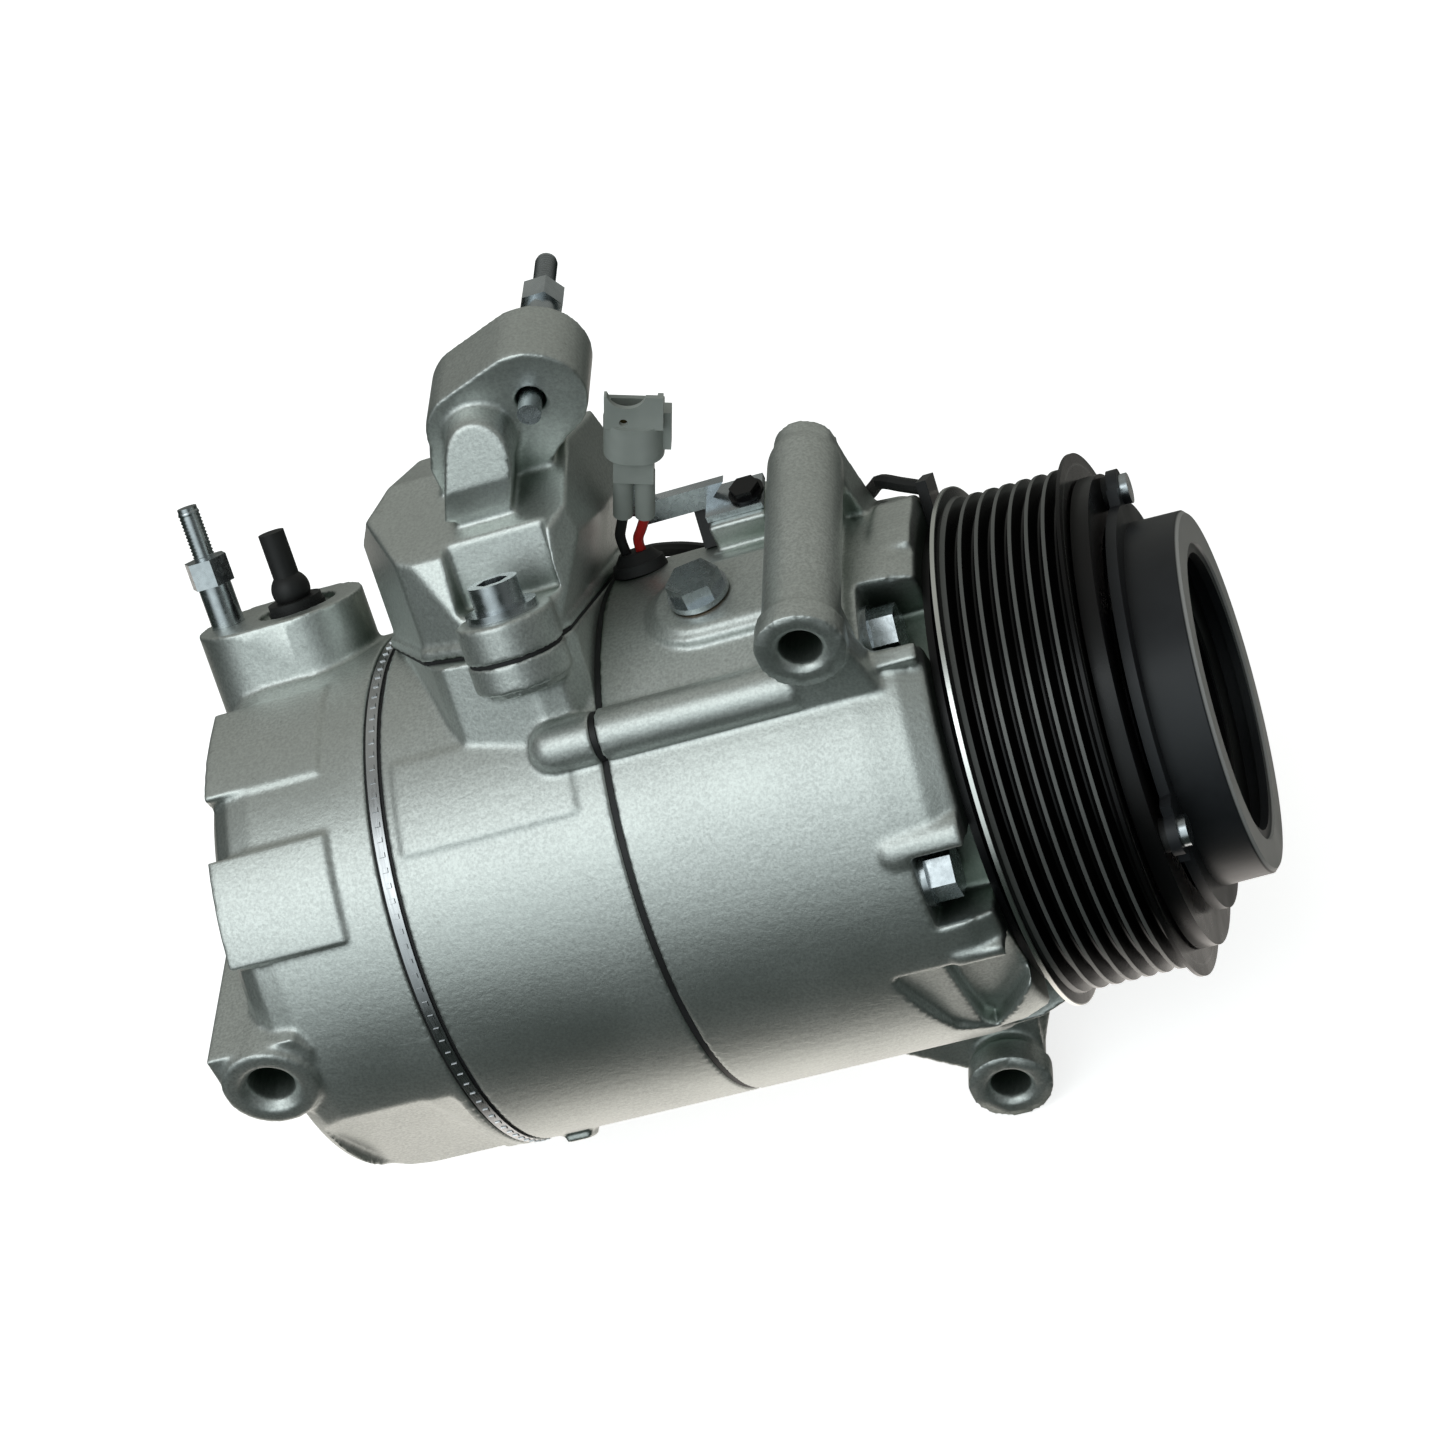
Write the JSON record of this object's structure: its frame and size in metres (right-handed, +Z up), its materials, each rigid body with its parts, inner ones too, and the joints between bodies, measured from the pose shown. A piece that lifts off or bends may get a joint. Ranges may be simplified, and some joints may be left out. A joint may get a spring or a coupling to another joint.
{
  "type": "automotive air conditioning compressor",
  "caption": "Variable-stroke swash-plate refrigerant compressor with an electromagnetic clutch pulley, two mounting lugs, a rear boss and two pipe ports.",
  "frame": {"origin": "on the shaft axis, in the middle plane of the belt grooves", "axes": "+X along the shaft towards the clutch end; the mounting bores run along Y; +Z is up, towards the ports"},
  "size_m": [0.2209, 0.1291, 0.1928],
  "materials": {
    "cast_aluminium": "sand-cast and blasted, satin",
    "machined_aluminium": "turned, lightly polished",
    "machined_steel": "ground and turned",
    "cast_iron": "machined ductile iron",
    "spring_steel": "blued spring steel",
    "gasket": "black rubber-coated metal gasket",
    "zinc": "bright zinc plate",
    "brass": "turned brass",
    "copper": "soft copper washer",
    "winding": "potted enamelled copper winding",
    "black_rubber": "matt black rubber",
    "red_insulation": "red wire insulation",
    "grey_plastic": "light grey moulded nylon",
    "black_plastic": "black moulded nylon",
    "black_steel": "satin black electrocoat",
    "dark_steel": "dark grey electrocoat"
  },
  "bodies": {
    "housing": {"rear_head": "cast_aluminium", "head_gasket": "gasket", "reed_retainer": "spring_steel", "discharge_reeds": "spring_steel", "valve_plate": "machined_steel", "suction_reeds": "spring_steel", "block_gasket": "gasket", "cylinder_block": "cast_aluminium", "housing_seal": "gasket", "front_housing": "cast_aluminium", "through_bolts": "zinc", "control_valve": "brass", "relief_valve": "brass", "oil_plug": "zinc", "oil_plug_washer": "copper", "discharge_tower": "cast_aluminium", "tower_gasket": "gasket", "tower_bolts": "zinc", "port_studs": "zinc", "rear_port_plug": "black_rubber", "lead_boot": "black_rubber", "coil_lead": "black_rubber", "wire_black": "black_rubber", "wire_red": "red_insulation", "connector_body": "grey_plastic", "connector_pins": "brass", "connector_bracket": "zinc", "bracket_bolt": "black_steel", "wire_clips": "black_plastic", "rear_bearing": "machined_steel", "thrust_washer": "machined_steel", "front_bearing": "machined_steel", "thrust_bearing": "machined_steel", "shaft_seal": "black_rubber", "seal_circlip": "spring_steel", "return_spring": "spring_steel", "coil_shell": "black_steel", "coil_winding": "winding", "coil_circlip": "spring_steel", "bearing_circlip": "spring_steel"},
    "drive_shaft": {"shaft": "machined_steel", "lug_plate": "machined_steel", "clutch_hub": "black_steel", "hub_damper": "black_rubber", "clutch_cup": "dark_steel", "ear_rivets": "zinc", "hub_nut": "zinc"},
    "armature": {"armature_plate": "black_steel"},
    "belt_pulley": {"pulley": "black_steel", "pulley_bearing": "machined_steel"},
    "swash": {"swash_plate": "cast_iron", "shoes": "machined_steel", "hinge_link": "machined_steel"},
    "sleeve": {"pivot_sleeve": "machined_steel"},
    "piston_1": {"piston_1": "machined_aluminium"},
    "piston_2": {"piston_2": "machined_aluminium"},
    "piston_3": {"piston_3": "machined_aluminium"},
    "piston_4": {"piston_4": "machined_aluminium"},
    "piston_5": {"piston_5": "machined_aluminium"},
    "piston_6": {"piston_6": "machined_aluminium"}
  },
  "joints": [
    {"name": "pulley_spin", "type": "hinge", "parent": "housing", "child": "belt_pulley", "pos_m": [0, 0, 0], "axis": [1, 0, 0], "continuous": true},
    {"name": "shaft_spin", "type": "hinge", "parent": "housing", "child": "drive_shaft", "pos_m": [0, 0, 0], "axis": [1, 0, 0], "continuous": true},
    {"name": "armature_pull", "type": "slide", "parent": "drive_shaft", "child": "armature", "axis": [-1, 0, 0], "range_m": [0, 0.00045], "stiffness_N_per_m": 6000},
    {"name": "swash_tilt", "type": "hinge", "parent": "housing", "child": "swash", "pos_m": [-0.078, -0.0264, 0.02733], "axis": [0, -0.7193, -0.6947], "range_deg": [0, 14], "stiffness_Nm_per_rad": 2},
    {"name": "sleeve_slide", "type": "slide", "parent": "housing", "child": "sleeve", "axis": [1, 0, 0], "range_m": [0, 0.0095], "deforming": ["return_spring"]},
    {"name": "piston_1_stroke", "type": "slide", "parent": "housing", "child": "piston_1", "axis": [1, 0, 0], "range_m": [0, 0.00511]},
    {"name": "piston_2_stroke", "type": "slide", "parent": "housing", "child": "piston_2", "axis": [1, 0, 0], "range_m": [0, 0.00083]},
    {"name": "piston_3_stroke", "type": "slide", "parent": "housing", "child": "piston_3", "axis": [1, 0, 0], "range_m": [0, 0.00511]},
    {"name": "piston_4_stroke", "type": "slide", "parent": "housing", "child": "piston_4", "axis": [1, 0, 0], "range_m": [0, 0.01366]},
    {"name": "piston_5_stroke", "type": "slide", "parent": "housing", "child": "piston_5", "axis": [1, 0, 0], "range_m": [0, 0.01793]},
    {"name": "piston_6_stroke", "type": "slide", "parent": "housing", "child": "piston_6", "axis": [1, 0, 0], "range_m": [0, 0.01366]}
  ],
  "couplings": [
    {"joint": "sleeve_slide", "follows": "swash_tilt", "m_per_rad": 0.038},
    {"joint": "piston_1_stroke", "follows": "swash_tilt", "m_per_rad": 0.0205},
    {"joint": "piston_2_stroke", "follows": "swash_tilt", "m_per_rad": 0.003},
    {"joint": "piston_3_stroke", "follows": "swash_tilt", "m_per_rad": 0.0205},
    {"joint": "piston_4_stroke", "follows": "swash_tilt", "m_per_rad": 0.0555},
    {"joint": "piston_5_stroke", "follows": "swash_tilt", "m_per_rad": 0.073},
    {"joint": "piston_6_stroke", "follows": "swash_tilt", "m_per_rad": 0.0555}
  ]
}
